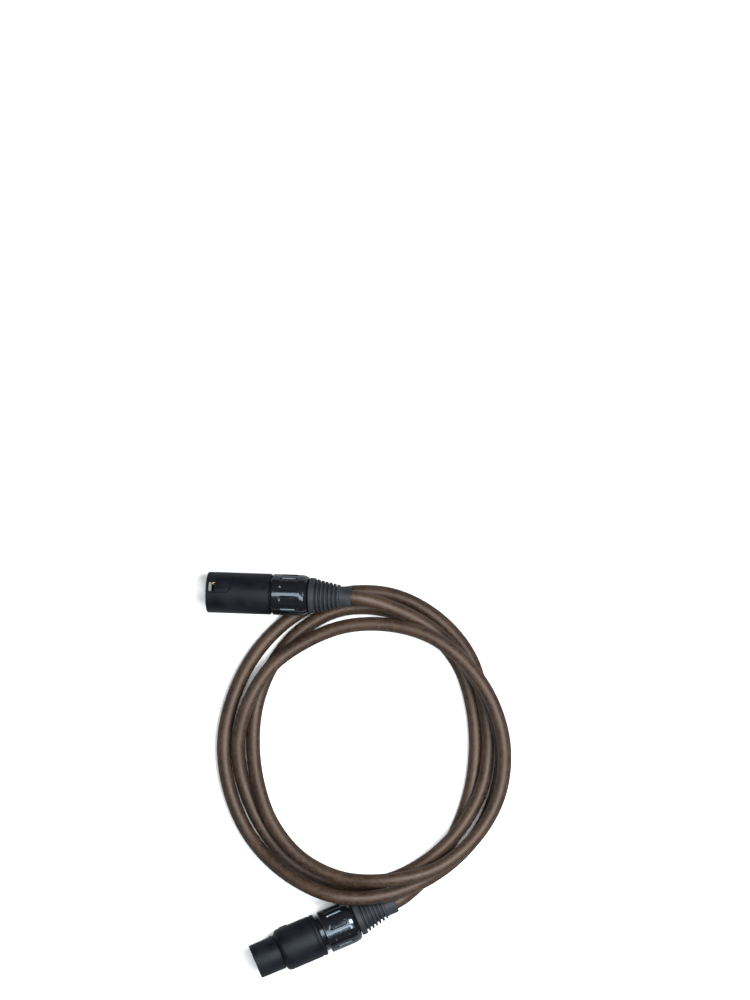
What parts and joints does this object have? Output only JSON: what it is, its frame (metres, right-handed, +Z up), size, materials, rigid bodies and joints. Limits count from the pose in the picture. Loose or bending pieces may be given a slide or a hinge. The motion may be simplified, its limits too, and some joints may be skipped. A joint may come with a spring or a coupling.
{
  "type": "balanced audio cable coil",
  "caption": "Brown balanced audio lead laid in a loose round coil, with a black male and a black female XLR plug, ribbed boots and slotted clamp bushings.",
  "frame": {"origin": "on the floor, under the middle of the box round the two plugs", "axes": "+Z up from the floor that the coil lies on, +X to the right and +Y away, as the coil is seen from above with the male plug at the top left"},
  "size_m": [0.142, 0.1888, 0.0256],
  "materials": {
    "cable_jacket": "satin brown PVC with a fine mottled grain",
    "shell_metal": "matte charcoal black coating",
    "latch_metal": "matte black coating",
    "bushing_plastic": "glossy black",
    "boot_rubber": "matte dark grey rubber",
    "insert_plastic": "matte black insulator",
    "contact_gold": "gold plated brass",
    "chuck_plastic": "plain grey plastic",
    "spring_steel": "bright spring wire",
    "wire_red": "red insulation",
    "wire_white": "white insulation",
    "wire_bare": "bare copper screen twisted to a tail"
  },
  "bodies": {
    "lead": {"cable": "cable_jacket", "male_shell": "shell_metal", "male_insert": "insert_plastic", "male_pin_1": "contact_gold", "male_pin_2": "contact_gold", "male_pin_3": "contact_gold", "male_wire_1": "wire_bare", "male_wire_2": "wire_red", "male_wire_3": "wire_white", "female_shell": "shell_metal", "female_insert": "insert_plastic", "female_contact_1": "contact_gold", "female_contact_2": "contact_gold", "female_contact_3": "contact_gold", "female_latch_spring": "spring_steel", "female_wire_1": "wire_bare", "female_wire_2": "wire_red", "female_wire_3": "wire_white"},
    "male_clamp": {"male_chuck": "chuck_plastic"},
    "male_nut": {"male_bushing": "bushing_plastic", "male_boot": "boot_rubber"},
    "female_clamp": {"female_chuck": "chuck_plastic"},
    "female_nut": {"female_bushing": "bushing_plastic", "female_boot": "boot_rubber"},
    "latch": {"female_latch": "latch_metal"}
  },
  "joints": [
    {"name": "latch_press", "type": "hinge", "parent": "lead", "child": "latch", "pos_m": [-0.00498, -0.07295, 0.00566], "axis": [-0.225, 0.5276, 0.8192], "range_deg": [0, 6], "stiffness_Nm_per_rad": 0.3, "springref_deg": -5.73, "deforming": ["female_latch_spring"]},
    {"name": "male_clamp_slide", "type": "slide", "parent": "lead", "child": "male_clamp", "axis": [0.9877, -0.0328, 0.153], "range_m": [0, 0.001]},
    {"name": "male_nut_turn", "type": "hinge", "parent": "male_clamp", "child": "male_nut", "pos_m": [-0.0041, 0.08356, 0.01552], "axis": [0.9877, -0.0328, 0.153], "range_deg": [0, 360]},
    {"name": "female_clamp_slide", "type": "slide", "parent": "lead", "child": "female_clamp", "axis": [0.9198, 0.3923, 0], "range_m": [0, 0.001]},
    {"name": "female_nut_turn", "type": "hinge", "parent": "female_clamp", "child": "female_nut", "pos_m": [0.01774, -0.07016, 0.0101], "axis": [0.9198, 0.3923, 0], "range_deg": [0, 360]}
  ],
  "couplings": [
    {"joint": "male_nut_turn", "follows": "male_clamp_slide", "rad_per_m": 6283.2},
    {"joint": "female_nut_turn", "follows": "female_clamp_slide", "rad_per_m": 6283.2}
  ]
}
